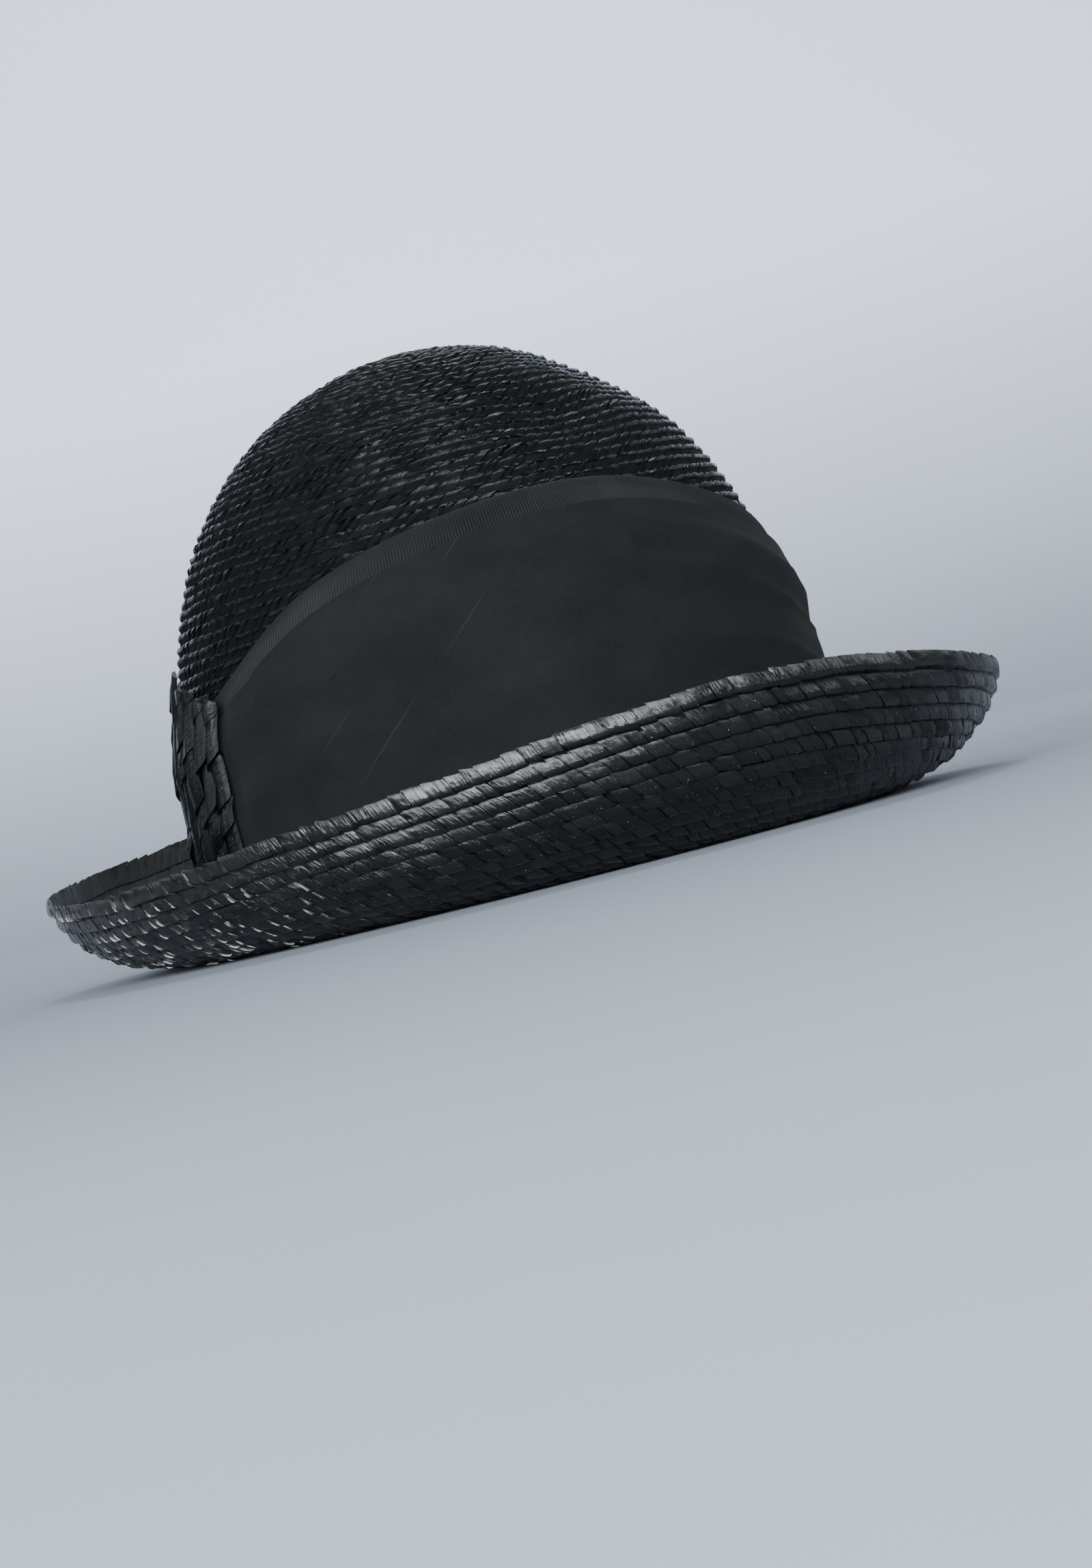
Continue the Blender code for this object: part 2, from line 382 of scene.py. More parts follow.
# The crown's mean profile, to go from a share of the way up it to a height.
PROFILE_POINTS = 4000
PROFILE_TURNS = (np.arange(PROFILE_POINTS + 1) / PROFILE_POINTS) ** 2 * math.pi / 2
PROFILE_HEIGHTS = np.sin(PROFILE_TURNS) ** (2 / CROWN_SHOULDER)
PROFILE_SIZES = np.cos(PROFILE_TURNS).clip(0) ** (2 / CROWN_DOME)
MEAN_RADIUS = (HEAD_WIDTH + HEAD_LENGTH) / 4 + STRAW
PROFILE_STEPS = np.hypot(np.diff(PROFILE_SIZES) * MEAN_RADIUS, np.diff(PROFILE_HEIGHTS) * CROWN_HEIGHT)
PROFILE_LENGTHS = np.concatenate([[0], np.cumsum(PROFILE_STEPS)])
PROFILE_LENGTH = PROFILE_LENGTHS[-1]


# The height, as a share of the crown's, of the place that the dents sink towards.
DENT_CENTRE = 0.45


def crown_surface(angle, share):
    """The crown's outer surface with its dents, at a share of the way up its profile."""
    way = np.clip(share, 0, 1) * PROFILE_LENGTH
    height = np.interp(way, PROFILE_LENGTHS, PROFILE_HEIGHTS)
    size = np.interp(way, PROFILE_LENGTHS, PROFILE_SIZES)
    plain = crown_at(angle, height, size)
    centre = TO_FRAME + np.array([0, 0, DENT_CENTRE * CROWN_HEIGHT])
    inward = unit(centre - plain)
    sunk = 0.0
    for row in DENTS:
        dent = dict(zip(DENT_COLUMNS, row))
        middle = crown_by_height(np.array(float(dent["angle"])), np.array(dent["height_share"]))
        away = np.linalg.norm(plain - middle, axis=-1)
        nearness = 1 - away / (dent["reach_share"] * CROWN_HEIGHT)
        sunk = sunk + dent["depth_share"] * CROWN_HEIGHT * ease(nearness)
    return plain + inward * sunk[..., None]


def normals_of(surface, along, across, along_step, across_step):
    """The direction at right angles to a surface, on the side of the hat that shows."""
    ahead = surface(along + along_step, across) - surface(along - along_step, across)
    low = np.clip(across - across_step, 0, 1)
    high = np.clip(across + across_step, 0, 1)
    rise = surface(along, high) - surface(along, low)
    return unit(np.cross(rise, ahead))


# The step in height, as a share of the crown's, over which its slope is measured.
HEIGHT_STEP = 0.004


def over_crown(angle, height, stand_off):
    """A point that lies a set distance outside the plain crown."""
    ahead = crown_by_height(angle + 1, height) - crown_by_height(angle - 1, height)
    below = np.maximum(height - HEIGHT_STEP, 0)
    rise = crown_by_height(angle, height + HEIGHT_STEP) - crown_by_height(angle, below)
    normals = unit(np.cross(rise, ahead))
    return crown_by_height(angle, height) + normals * np.asarray(stand_off)[..., None]


def ribbon_top(angle):
    return around(RIBBON, RIBBON_COLUMNS, "top_share", angle) * CROWN_HEIGHT


def band_top(angle):
    return ribbon_top(angle) - RIBBON_WIDTH + RIBBON_LAP


def tab_surface(up, share):
    """The tab's outer face: up runs from 0 to 1 and share from its back edge to its front one."""
    across = 1 - 2 * share
    radius = (HEAD_LENGTH + HEAD_WIDTH) / 4
    half_width = (TAB_FOOT_WIDTH + (TAB_WIDTH - TAB_FOOT_WIDTH) * up) / 2
    middle = TAB_FOOT_ANGLE + (TAB_ANGLE - TAB_FOOT_ANGLE) * up
    angle = middle + np.degrees(half_width / radius) * across
    foot = STRAW + TAB_BACK_LIFT + TAB_ARCH
    top = ribbon_top(np.array(float(TAB_ANGLE))) + TAB_SLANT * (1 + across) / 2
    height = foot + (top - foot) * up
    band_foot = STRAW + CLEARANCE
    band_share = np.minimum((height - band_foot) / (band_top(angle) - band_foot), 1.0)
    under = band_stand_off(band_share) + 2 * CLEARANCE
    arch = TAB_ARCH * (1 - across * across) + TAB_BACK_LIFT * (1 + across) / 2
    return over_crown(angle, height / CROWN_HEIGHT, under + TAB_STRAW + arch)


class Mesh:
    """Points, faces and the values at their corners, gathered course by course."""

    def __init__(self):
        self.points = []
        self.faces = []
        self.weave = []
        self.values = {"tile": [], "depth": []}
        self.count = 0

    def add_tube(self, grid, weave, tile, depth, cyclic):
        """Rings of section points, joined one to the next along the course."""
        rings, around_section = grid.shape[:2]
        self.points.append(grid.reshape(-1, 3))
        self.values["tile"].append(np.broadcast_to(tile, grid.shape[:2]).reshape(-1))
        self.values["depth"].append(np.broadcast_to(depth, grid.shape[:2]).reshape(-1))
        last = rings if cyclic else rings - 1
        first = np.arange(last)[:, None]
        after = (first + 1) % rings
        here = np.arange(around_section)[None, :]
        beside = (here + 1) % around_section
        quads = np.stack(
            np.broadcast_arrays(
                first * around_section + here,
                first * around_section + beside,
                after * around_section + beside,
                after * around_section + here,
            ),
            axis=-1,
        )
        self.faces.extend((quads.reshape(-1, 4) + self.count).tolist())
        along = np.append(weave[0], weave[0][0] + weave[2]) if cyclic else weave[0]
        across = np.broadcast_to(weave[1], (rings, around_section))
        across = np.concatenate([across, across[:, :1]], axis=1)
        across = np.concatenate([across, across[:1]]) if cyclic else across
        along = np.broadcast_to(along[:, None], across.shape)
        places = np.stack([along, across], -1)
        corner = np.stack(
            [places[:last, :-1], places[:last, 1:], places[1:last + 1, 1:], places[1:last + 1, :-1]], axis=2
        )
        self.weave.append(corner.reshape(-1, 2))
        if not cyclic:
            start = list(range(self.count, self.count + around_section))
            end = [self.count + (rings - 1) * around_section + step for step in range(around_section)]
            self.faces.append(start[::-1])
            self.faces.append(end)
            self.weave.append(places[0, :-1][::-1])
            self.weave.append(places[-1, :-1])
        self.count += rings * around_section

    def make(self, name, finish, sharp=40):
        mesh = bpy.data.meshes.new(name)
        points = np.concatenate(self.points)
        mesh.from_pydata(points.tolist(), [], self.faces)
        mesh.update()
        weave = mesh.attributes.new("weave", "FLOAT_VECTOR", "CORNER")
        flat = np.concatenate(self.weave)
        weave.data.foreach_set("vector", np.column_stack([flat, np.zeros(len(flat))]).ravel())
        for key, parts in self.values.items():
            kept = mesh.attributes.new(key, "FLOAT", "POINT")
            kept.data.foreach_set("value", np.concatenate(parts))
        mesh.materials.append(finish)
        if volume_of(mesh) < 0:
            mesh.flip_normals()
        mesh.shade_smooth()
        mesh.set_sharp_from_angle(angle=math.radians(sharp))
        piece = bpy.data.objects.new(name, mesh)
        bpy.context.scene.collection.objects.link(piece)
        return piece


def volume_of(mesh):
    mesh.calc_loop_triangles()
    points = np.empty(len(mesh.vertices) * 3)
    mesh.vertices.foreach_get("co", points)
    corners = np.empty(len(mesh.loop_triangles) * 3, int)
    mesh.loop_triangles.foreach_get("vertices", corners)
    a, b, c = points.reshape(-1, 3)[corners.reshape(-1, 3)].transpose(1, 0, 2)
    return float((a * np.cross(b, c)).sum() / 6)


def stray(rng, angles, size, waves=(3, 5, 8, 13, 21)):
    """A smooth seeded wander round the hat, which closes on itself."""
    total = 0.0
    for count in waves:
        total = total + rng.normal(0, 1) * np.sin(np.radians(angles * count) + rng.uniform(0, 2 * math.pi))
    return size * total / math.sqrt(len(waves) / 2)


def add_course(mesh, surface, low, high, braid, rng, width, length, closed=True, span=360.0, step=0.4):
    """One course of braid, whose plaits are parted by slanting slits.

    low and high are the places of its two edges across the surface, and width and length
    are its own, in metres. span is the whole way along the surface, and step the distance
    along it over which its direction is measured.
    """
    across = column(braid.section, COURSE_COLUMNS, "across")
    lift = column(braid.section, COURSE_COLUMNS, "lift") * MM
    slit_depth = column(braid.section, COURSE_COLUMNS, "slit_depth") * MM
    slit_width = column(braid.section, COURSE_COLUMNS, "slit_width")
    turned = int(np.argmax(across))
    outer = np.arange(len(across)) <= turned
    plaits = max(int(round(length / braid.plait)), FEWEST_PLAITS)
    lengths = rng.uniform(*PLAIT_LENGTHS, plaits)
    starts = np.concatenate([[0], np.cumsum(lengths)[:-1]]) / lengths.sum()
    sizes = lengths / lengths.sum()
    slits = braid.slit * rng.uniform(*SLIT_WIDTHS, plaits) ** SLIT_SKEW / length
    slits = np.minimum(slits, WIDEST_SLIT * sizes)
    # Four rings a plait: the bottom of the slit before it, its start, its middle and its end.
    base = np.stack([starts, starts, starts + sizes * 0.5, starts + sizes], 1)
    open_by = np.stack([0 * slits, slits, 0 * slits, -np.roll(slits, -1)], 1)
    loose = np.where(rng.uniform(0, 1, plaits) < LOOSE_SHARE, LOOSE_TILT, 1.0)
    tilt = braid.tilt * (0.7 + rng.normal(0, 0.8, plaits)) * loose
    raised = rng.normal(0, 0.5, plaits) * braid.tilt
    ends = raised - braid.bulge
    level = np.stack([0 * raised, ends + tilt, raised + braid.bulge, ends - tilt], 1)
    roll = rng.normal(0, 0.6, plaits)[:, None] * braid.tilt * np.array([0.0, 1.0, 1.0, 1.0])
    sunk = np.array([1.0, 0.0, 0.0, 0.0]) * rng.uniform(*SLIT_DEPTHS, plaits)[:, None]
    tooth = rng.uniform(*TOOTH_SIZES, plaits) * braid.tooth
    bow = rng.uniform(*BOW_SIZES, plaits) * braid.scallop
    edge = np.stack([-0.5 * bow, 0.1 * tooth - 0.3 * bow, 0.5 * tooth + bow, tooth - 0.3 * bow], 1)
    lean = max(min(braid.slant / length, STEEPEST_LEAN), -STEEPEST_LEAN)
    curve = across + SLIT_CURVE * np.sin(2 * math.pi * across)
    opened = open_by[..., None] * (slit_width + THINNEST_SLIT) / 2
    along = (base[..., None] + opened + lean * curve) * span
    along = along.reshape(-1, len(across))
    if not closed:
        along = np.clip(along, 0, span)
    stepped = edge.reshape(-1, 1) * (across > UPPER_EDGE) * (high - low) / width
    place = low + across * (high - low) + stepped
    if braid.wander:
        place = place + stray(rng, along, braid.wander) * (high - low) / width
    place = np.clip(place, 0, 1)
    shown = np.where(outer, 1.0, 0.5)
    rolled = roll[..., None] * (across - 0.5) * 2
    stand = lift + (level[..., None] + rolled) * shown - sunk[..., None] * slit_depth
    stand = stand.reshape(-1, len(across)) + rng.normal(0, braid.crumple, along.shape) * shown
    stand = np.minimum(stand, HIGHEST_PLAIT)
    normals = normals_of(surface, along, place, step, ACROSS_STEP)
    grid = surface(along, place) + normals * stand[..., None]
    grid[..., 2] = np.maximum(grid[..., 2], 0.0)
    # The weave starts at a place of its own, so that no two courses are streaked alike.
    weave = (base.reshape(-1) * length + rng.uniform(0, 3), across * width, length)
    tone = np.repeat(rng.uniform(0, 1, plaits), 4)[:, None]
    # How deep each point lies: there the colour is painted black as shade, and the straw is made rougher.
    depth = np.abs(sunk[..., None] * slit_depth) / SLIT_BLACK_AT - lift / braid.recess
    mesh.add_tube(grid, weave, tone, np.clip(depth, 0, 1).reshape(-1, len(across)), closed)


def ring_length(surface, share):
    angles = np.arange(0, 361, 4.0)
    points = surface(angles, np.full(len(angles), share))
    return float(np.linalg.norm(np.diff(points, axis=0), axis=1).sum())


def add_courses(
    mesh, surface, start, end, courses, braid, rng, floor=0.0, last=None, spacing=BRAID_PITCH
):
    """Courses of braid one above the other, each one's lower edge behind the one below."""
    pitch = (end - start) / courses
    for course in range(courses):
        high = start + (course + 1) * pitch
        low = max(high - pitch * (1 + OVERLAP), floor)
        width = spacing * (1 + OVERLAP)
        kind = last if last and course == courses - 1 else braid
        add_course(mesh, surface, low, high, kind, rng, width, ring_length(surface, (low + high) / 2))


# The brim's courses in all and in its inner piece, and how far short of the brim's edge the
# last one stops, as a share of the brim.
BRIM_COURSES = 13
BRIM_INNER_COURSES = 7
RIM_DRAWN_IN = 0.008


def make_brim_inner(finish):
    mesh = Mesh()
    share = BRIM_INNER_COURSES / BRIM_COURSES
    rng = np.random.default_rng(11)
    add_courses(mesh, brim_surface, 0, share, BRIM_INNER_COURSES, BRIM_BRAID, rng)
    return mesh.make("brim_inner", finish)


def make_brim_outer(finish):
    mesh = Mesh()
    share = BRIM_INNER_COURSES / BRIM_COURSES
    rows = BRIM_COURSES - BRIM_INNER_COURSES
    rng = np.random.default_rng(12)
    add_courses(mesh, brim_surface, share, 1 - RIM_DRAWN_IN, rows, BRIM_BRAID, rng, last=RIM_BRAID)
    return mesh.make("brim_outer", finish)


# Where the crown's pieces start and end, as shares of the way up its profile.
CROWN_START = 0.012
CROWN_FOOT_END = 0.225
CROWN_SIDE_END = 0.50
CROWN_DOME_END = 0.985


def crown_courses(start, end, spacing):
    return int(round((end - start) * PROFILE_LENGTH / spacing))


def make_crown_foot(finish):
    mesh = Mesh()
    rows = crown_courses(CROWN_START, CROWN_FOOT_END, BRAID_PITCH)
    rng = np.random.default_rng(21)
    add_courses(mesh, crown_surface, CROWN_START, CROWN_FOOT_END, rows, FOOT_BRAID, rng, CROWN_START)
    return mesh.make("crown_foot", finish)


def make_crown_side(finish):
    mesh = Mesh()
    rows = crown_courses(CROWN_FOOT_END, CROWN_SIDE_END, CROWN_PITCH)
    rng = np.random.default_rng(22)
    add_courses(
        mesh, crown_surface, CROWN_FOOT_END, CROWN_SIDE_END, rows, CROWN_BRAID, rng, spacing=CROWN_PITCH
    )
    return mesh.make("crown_side", finish)


def make_crown_dome(finish):
    mesh = Mesh()
    rows = crown_courses(CROWN_SIDE_END, CROWN_DOME_END, CROWN_PITCH)
    rng = np.random.default_rng(23)
    add_courses(
        mesh, crown_surface, CROWN_SIDE_END, CROWN_DOME_END, rows, CROWN_BRAID, rng, spacing=CROWN_PITCH
    )
    add_tip(mesh)
    return mesh.make("crown_dome", finish)


# The rings of the button at the tip: each one's share of the way up the crown's profile and
# how far it lies above the crown, in millimetres.
TIP_RINGS = ((0.972, -1.0), (0.976, -0.35), (0.988, -0.05), (0.998, 0.0), (0.990, -1.6))
TIP_POINTS = 16
TIP_GIRTH = 0.03


def add_tip(mesh):
    """The small closed button of braid at the tip, where the first course starts."""
    angles = np.arange(TIP_POINTS) * 360 / TIP_POINTS
    rings = [
        crown_surface(angles, np.full(TIP_POINTS, share)) + np.array([0, 0, lift * MM])
        for share, lift in TIP_RINGS
    ]
    weave = (angles / 360 * TIP_GIRTH, np.arange(len(TIP_RINGS)) * MM, TIP_GIRTH)
    mesh.add_tube(np.stack(rings, 1), weave, 0.5, 0.0, True)


def add_sheet(mesh, outer, inner, along, across, length):
    """A closed wall round the hat, between an outer and an inner grid of points."""
    grid = np.concatenate([outer, inner[:, ::-1]], axis=1)
    back = across[:, [-1, 0]] if inner.shape[1] == 2 else across[:, ::-1]
    mesh.add_tube(grid, (along, np.concatenate([across, back], axis=1), length), 0.5, 0.0, True)


# The long raised folds on the wearer's left: the angle where each starts, its height there
# and at its far end as shares of the band's height, and how far it stands out in metres.
RIDGE_COLUMNS = ("start", "height_share", "end_share", "stand_out")
RIDGES = (
    (34, 0.97, 0.84, 0.0007),
    (22, 0.84, 0.62, 0.0009),
    (6, 0.60, 0.36, 0.0008),
    (60, 0.30, 0.12, 0.0005),
)
# The angle over which a fold runs, where all have died away at the back and over what angle,
# and how far each reaches above and below its line, as shares of the band's height.
RIDGE_RUN = 120
RIDGE_END = -178
RIDGE_FADE = 40
RIDGE_ABOVE = 0.010
RIDGE_BELOW = 0.050


def ridges(side, share):
    """How far the long folds lift the cloth, steep above each fold and soft below it."""
    total = 0.0
    for row in RIDGES:
        ridge = dict(zip(RIDGE_COLUMNS, row))
        gone = (ridge["start"] - side) / RIDGE_RUN
        line = ridge["height_share"] + (ridge["end_share"] - ridge["height_share"]) * ease(gone)
        fade = ease(gone * 4) * ease((side - RIDGE_END) / RIDGE_FADE)
        away = share - line
        reach = np.where(away > 0, RIDGE_ABOVE, RIDGE_BELOW)
        total = total + ridge["stand_out"] * fade * np.exp(-np.abs(away) / reach)
    return total


BAND_STEPS = 720
BAND_ROWS = 48
# The small upright folds beside the tab: the angles between which they show, the angle over
# which they rise and fall, how deep they are, and how many go round and how much they lean.
TUCK_START = 60
TUCK_RISE = 26
TUCK_MIDDLE = 96
TUCK_END = 126
TUCK_FALL = 24
TUCK_DEPTH = 0.45 * MM
TUCKS_AROUND = 46
TUCK_LEAN = 50
# How uneven the cloth is, how that leans, and how many waves of it go round the hat.
CLOTH_UNEVEN = 0.12 * MM
UNEVEN_LEAN = 30
UNEVEN_WAVES = (5, 9, 14, 22)


def make_band(finish):
    angle = (np.arange(BAND_STEPS) * 360 / BAND_STEPS)[:, None]
    share = (np.arange(BAND_ROWS + 1) / BAND_ROWS)[None, :]
    foot = STRAW + CLEARANCE
    height = foot + (band_top(angle) - foot) * share
    side = (angle + 180) % 360 - 180
    stand = band_stand_off(share) + ridges(side, share) * ease(share * 5) * ease((1 - share) * 12)
    # Upright folds where the cloth goes under the tab, and a slight unevenness all round.
    rising = ease((side - TUCK_START) / TUCK_RISE)
    near = np.where(side < TUCK_MIDDLE, rising, ease((TUCK_END - side) / TUCK_FALL))
    tucks = np.sin(np.radians(side * TUCKS_AROUND + TUCK_LEAN * share))
    stand = stand + TUCK_DEPTH * near * tucks * ease(share * 3)
    rng = np.random.default_rng(51)
    uneven = stray(rng, angle + UNEVEN_LEAN * share, CLOTH_UNEVEN, UNEVEN_WAVES)
    stand = stand + uneven * ease(share * 4)
    outer = over_crown(angle + 0 * share, height / CROWN_HEIGHT, stand)
    behind = np.maximum(stand - CLOTH, CLEARANCE)
    inner = over_crown(angle + 0 * share, height / CROWN_HEIGHT, behind)
    length = ring_length(crown_surface, 0.3)
    mesh = Mesh()
    add_sheet(mesh, outer, inner, angle[:, 0] / 360 * length, height + 0 * stand, length)
    return mesh.make("band_cloth", finish, sharp=60)


# The ribbon's ribs: how many go round, each one's rise, how deep the gaps between them are
# and how much the two edges are thinned. Then the rows across it, as shares of its width.
RIBS = 600
RIB_RISE = (0.0, 0.7, 1.0, 0.7)
RIB_DEPTH = 0.00030
EDGE_THINNED = 0.00035
RIBBON_ROWS = (0.0, 0.03, 0.35, 0.65, 0.965, 1.0)


def make_ribbon(finish):
    steps = RIBS * len(RIB_RISE)
    angle = (np.arange(steps) * 360 / steps)[:, None]
    rise = np.tile(RIB_RISE, RIBS)[:, None]
    share = np.array(RIBBON_ROWS)[None, :]
    height = ribbon_top(angle) - RIBBON_WIDTH * (1 - share)
    edge = ((share > 0.01) & (share < 0.99)) * 1.0
    thinned = RIB_DEPTH * (1 - rise) * edge
    stand = CLEARANCE + RIBBON_THICKNESS - thinned - EDGE_THINNED * (1 - edge)
    outer = over_crown(angle + 0 * share, height / CROWN_HEIGHT, stand)
    inner = over_crown(angle + 0 * share, height / CROWN_HEIGHT, CLEARANCE + 0 * stand)
    length = ring_length(crown_surface, 0.4)
    mesh = Mesh()
    along = angle[:, 0] / 360 * length
    add_sheet(mesh, outer, inner[:, [0, -1]], along, share * RIBBON_WIDTH + 0 * stand, length)
    return mesh.make("ribbon_ribbed", finish, sharp=60)


# The tab's upright rows, as shares of the way from its back edge to its front one, and how
# far short of its top a row may stop, as a share of its height.
TAB_ROWS = ((0.00, 0.14), (0.11, 0.32), (0.28, 0.50), (0.46, 0.68), (0.64, 0.85), (0.81, 1.00))
TAB_TOP_UNEVEN = 0.05


def make_tab(finish):
    rng = np.random.default_rng(41)
    mesh = Mesh()
    length = float(ribbon_top(np.array(float(TAB_ANGLE)))) + TAB_SLANT / 2
    for low, high in TAB_ROWS:
        width = (high - low) * (TAB_WIDTH + TAB_FOOT_WIDTH) / 2
        top = 1 - rng.uniform(0, TAB_TOP_UNEVEN)
        add_course(
            mesh, tab_surface, low, high, TAB_BRAID, rng, width, length, closed=False, span=top, step=0.01
        )
    return mesh.make("side_tab_braid", finish)


def new_material(name):
    finish = bpy.data.materials.new(name)
    finish.use_nodes = True
    return finish, finish.node_tree, finish.node_tree.nodes["Principled BSDF"]


def node(tree, kind, **settings):
    made = tree.nodes.new(kind)
    for key, value in settings.items():
        setattr(made, key, value)
    return made


def join(tree, start, end):
    tree.links.new(start, end)


def math_node(tree, operation, first, second=None):
    made = node(tree, "ShaderNodeMath", operation=operation)
    for place, value in enumerate((first, second)):
        if value is None:
            continue
        if isinstance(value, (int, float)):
            made.inputs[place].default_value = value
        else:
            join(tree, value, made.inputs[place])
    return made.outputs[0]


def attribute(tree, name, output):
    return node(tree, "ShaderNodeAttribute", attribute_name=name).outputs[output]


def scaled(tree, vector, scale):
    made = node(tree, "ShaderNodeMapping")
    made.inputs["Scale"].default_value = scale
    join(tree, vector, made.inputs["Vector"])
    return made.outputs["Vector"]


def noise(tree, vector, detail=3.0, roughness=0.55):
    made = node(tree, "ShaderNodeTexNoise")
    made.inputs["Scale"].default_value = 1.0
    made.inputs["Detail"].default_value = detail
    made.inputs["Roughness"].default_value = roughness
    join(tree, vector, made.inputs["Vector"])
    return made.outputs["Fac"]


def spread(tree, value, from_low, from_high, to_low, to_high):
    made = node(tree, "ShaderNodeMapRange")
    sockets = ("From Min", "From Max", "To Min", "To Max")
    for key, number in zip(sockets, (from_low, from_high, to_low, to_high)):
        made.inputs[key].default_value = number
    join(tree, value, made.inputs["Value"])
    return made.outputs["Result"]


def blend_colors(tree, share, first, second):
    made = node(tree, "ShaderNodeMix", data_type="RGBA")
    join(tree, share, made.inputs["Factor"])
    for socket, value in (("A", first), ("B", second)):
        place = [s for s in made.inputs if s.name == socket and s.type == "RGBA"][0]
        if isinstance(value, tuple):
            place.default_value = (*value, 1)
        else:
            join(tree, value, place)
    return [s for s in made.outputs if s.type == "RGBA"][0]


def bump(tree, height, strength, distance, normal=None):
    made = node(tree, "ShaderNodeBump")
    made.inputs["Strength"].default_value = strength
    made.inputs["Distance"].default_value = distance
    join(tree, height, made.inputs["Height"])
    if normal is not None:
        join(tree, normal, made.inputs["Normal"])
    return made.outputs["Normal"]


# The straw's colours, the scales of its patterns along and across it in each metre, and how
# high its streaks, crumples and facets stand.
STRAW_DARK = (0.0012, 0.0013, 0.0015)
# Pale flecks: cut ends and scratches in the straw, and painted glints.
NICK_AND_GLINT_COLOR = (0.22, 0.23, 0.25)
# The painted shade in deep slits and between courses.
SLIT_SHADE_COLOR = (0.0003, 0.0003, 0.0004)
STREAK_SCALE = (1500, 80, 1)
CRUMPLE_SCALE = (480, 620, 1)
FACET_SCALE = (760, 520, 1)
NICK_AND_GLINT_SCALE = (2300, 2300, 2300)
PATCH_SCALE = (75, 75, 75)
STREAK_HEIGHT = 0.24 * MM
CRUMPLE_HEIGHT = 0.12 * MM
FACET_HEIGHT = 0.10 * MM


def straw_material(name, light, smooth, rough, shine, relief, dull_slits):
    """Black straw that shines: streaks across each course, crumples, bright flecks that are partly painted
    glints, and painted shade in its deep slits and between its courses.

    light is the palest straw's colour. smooth and rough are the roughness of the plaits that
    shine most and least, shine is their specular level, relief scales the height of their
    streaks, crumples and facets, and dull_slits is how much rougher the deepest slits are.
    """
    finish, tree, shader = new_material(name)
    weave = attribute(tree, "weave", "Vector")
    tile = attribute(tree, "tile", "Fac")
    depth = attribute(tree, "depth", "Fac")
    streaks = noise(tree, scaled(tree, weave, STREAK_SCALE), 3.0, 0.65)
    crumple = noise(tree, scaled(tree, weave, CRUMPLE_SCALE), 5.0, 0.65)
    facets = node(tree, "ShaderNodeTexVoronoi", voronoi_dimensions="3D", feature="F1")
    facets.inputs["Scale"].default_value = 1.0
    facets.inputs["Randomness"].default_value = 1.0
    join(tree, scaled(tree, weave, FACET_SCALE), facets.inputs["Vector"])
    place = node(tree, "ShaderNodeTexCoord").outputs["Object"]
    nicks_and_glints = noise(tree, scaled(tree, place, NICK_AND_GLINT_SCALE), 1.0, 0.5)
    patches = noise(tree, scaled(tree, place, PATCH_SCALE), 3.0, 0.6)
    tone = spread(tree, math_node(tree, "ADD", tile, streaks), 0.4, 1.5, 0.0, 1.0)
    color = blend_colors(tree, tone, STRAW_DARK, light)
    # Pale flecks: cut ends and scratches, and painted glints on them.
    color = blend_colors(tree, spread(tree, nicks_and_glints, 0.76, 0.82, 0.0, 1.0), color, NICK_AND_GLINT_COLOR)
    # Painted shade: the colour turns near black where a slit or the gap between two courses lies deep.
    color = blend_colors(tree, spread(tree, depth, 0.30, 0.70, 0.0, 1.0), color, SLIT_SHADE_COLOR)
    join(tree, color, shader.inputs["Base Color"])
    worn = math_node(tree, "ADD", tile, spread(tree, patches, 0.3, 0.7, -0.5, 0.5))
    dull = spread(tree, worn, 0.0, 1.0, smooth, rough)
    dull = math_node(tree, "ADD", dull, spread(tree, crumple, 0.55, 0.80, 0.0, 0.20))
    dull = math_node(tree, "ADD", dull, spread(tree, depth, 0.22, 0.60, 0.0, dull_slits))
    join(tree, dull, shader.inputs["Roughness"])
    shader.inputs["Specular IOR Level"].default_value = shine
    fine = bump(tree, streaks, 1.0, STREAK_HEIGHT * relief)
    rough_skin = bump(tree, crumple, 1.0, CRUMPLE_HEIGHT * relief, fine)
    skin = bump(tree, facets.outputs["Distance"], 1.0, FACET_HEIGHT * relief, rough_skin)
    join(tree, skin, shader.inputs["Normal"])
    return finish


# How the twill and the drawn threads in it slant, in degrees, and how far apart they lie, in
# metres, and then the cloth's colours.
TWILL_SLANT = 26
TWILL_PITCH = 0.00046
THREAD_SLANT = 41
THREAD_PITCH = 0.013
CLOTH_DARK = (0.0021, 0.0022, 0.0024)
CLOTH_LIGHT = (0.0068, 0.0070, 0.0075)
CLOTH_DUSTY = (0.0084, 0.0087, 0.0094)
THREAD_COLOR = (0.015, 0.016, 0.017)
SLUB_COLOR = (0.003, 0.003, 0.0035)


def turned_weave(tree, weave, slant, along, across):
    """The weave's coordinates laid on the slant, so that y steps from one yarn to the next."""
    turned = node(tree, "ShaderNodeMapping", vector_type="POINT")
    turned.inputs["Rotation"].default_value = (0, 0, math.radians(slant))
    join(tree, weave, turned.inputs["Vector"])
    return scaled(tree, turned.outputs["Vector"], (along, across, 1))


